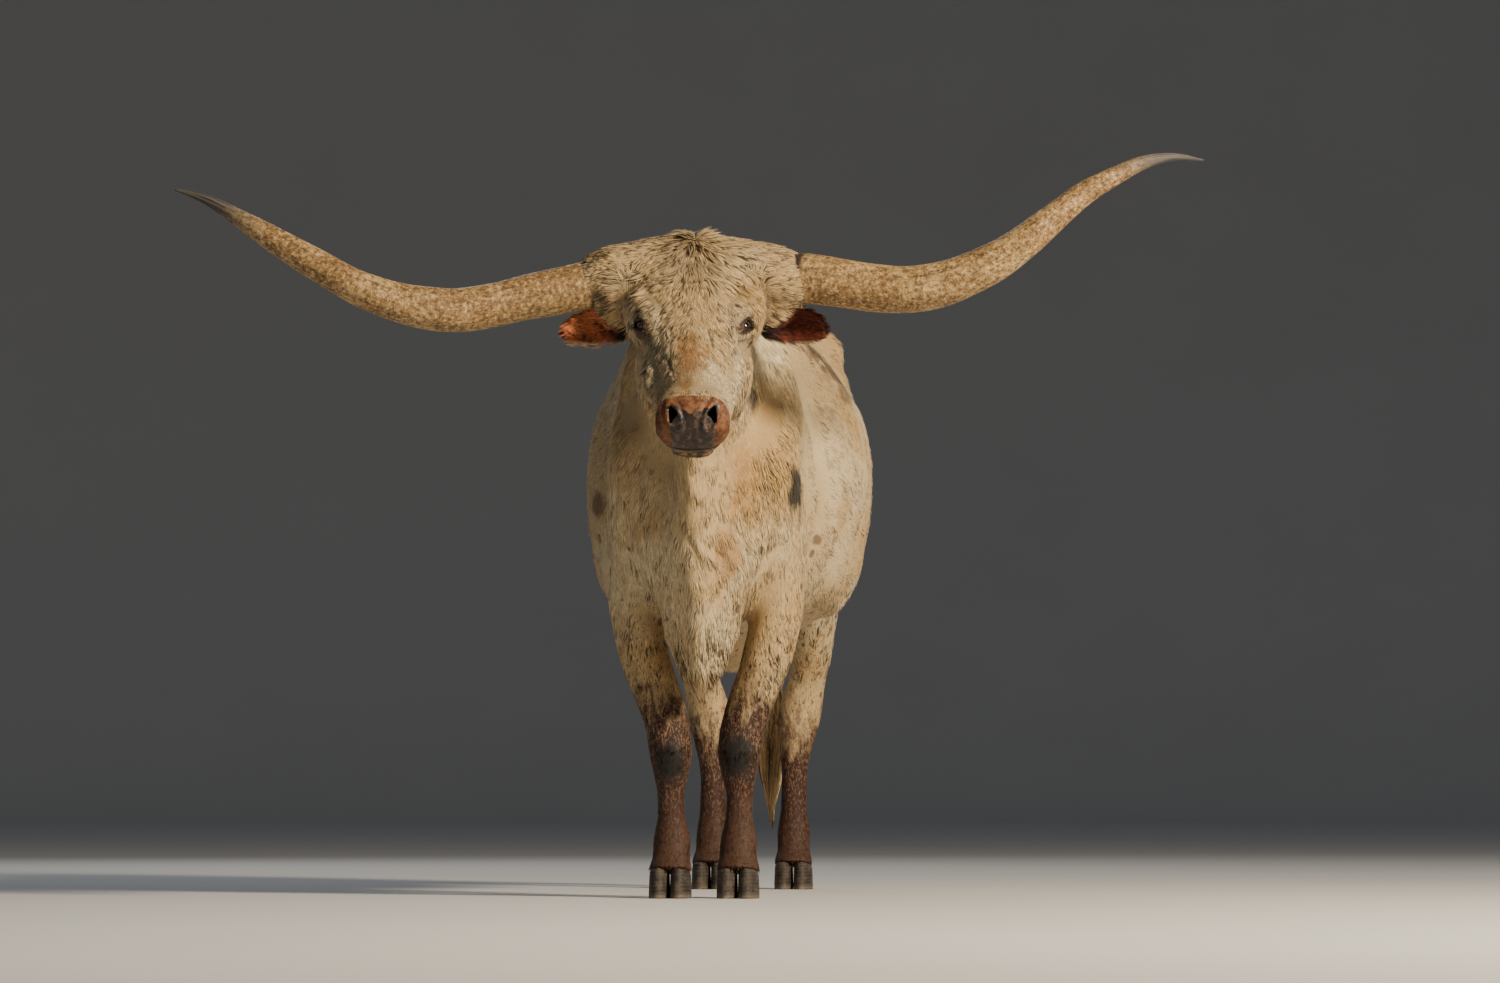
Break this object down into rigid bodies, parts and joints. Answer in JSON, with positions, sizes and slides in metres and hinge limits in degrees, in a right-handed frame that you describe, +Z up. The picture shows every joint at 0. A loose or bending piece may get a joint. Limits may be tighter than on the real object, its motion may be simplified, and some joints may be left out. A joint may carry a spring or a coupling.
{
  "type": "texas longhorn steer",
  "caption": "Life-size standing longhorn steer with wide upswept horns, facing ahead on its four hooves, as a still model.",
  "frame": {"origin": "on the floor under the middle of the animal's bounding box", "axes": "+Z up, the steer faces -Y, its left side is at +X"},
  "size_m": [2.2941, 2.1974, 1.6668],
  "materials": {
    "hide": "short cream coat with tan tints and small dark flecks",
    "shank": "short red-brown coat grizzled with white",
    "ear": "soft red hair inside, pale rim",
    "horn": "tan horn with fine lengthwise grain and dark tips",
    "hoof": "dull dark horn",
    "eye": "wet and dark"
  },
  "bodies": {
    "root": {"torso": "hide", "neck": "hide", "head": "hide", "tail": "hide", "tail_switch": "hide", "horn_left": "horn", "ear_left": "ear", "eye_left": "eye", "forearm_left": "hide", "foreshank_left": "shank", "thigh_left": "hide", "hindshank_left": "shank", "fore_left_claw_outer": "hoof", "fore_left_dewclaw_outer": "hoof", "fore_left_claw_inner": "hoof", "fore_left_dewclaw_inner": "hoof", "hind_left_claw_outer": "hoof", "hind_left_dewclaw_outer": "hoof", "hind_left_claw_inner": "hoof", "hind_left_dewclaw_inner": "hoof", "horn_right": "horn", "ear_right": "ear", "eye_right": "eye", "forearm_right": "hide", "foreshank_right": "shank", "thigh_right": "hide", "hindshank_right": "shank", "fore_right_claw_outer": "hoof", "fore_right_dewclaw_outer": "hoof", "fore_right_claw_inner": "hoof", "fore_right_dewclaw_inner": "hoof", "hind_right_claw_outer": "hoof", "hind_right_dewclaw_outer": "hoof", "hind_right_claw_inner": "hoof", "hind_right_dewclaw_inner": "hoof"}
  },
  "joints": []
}
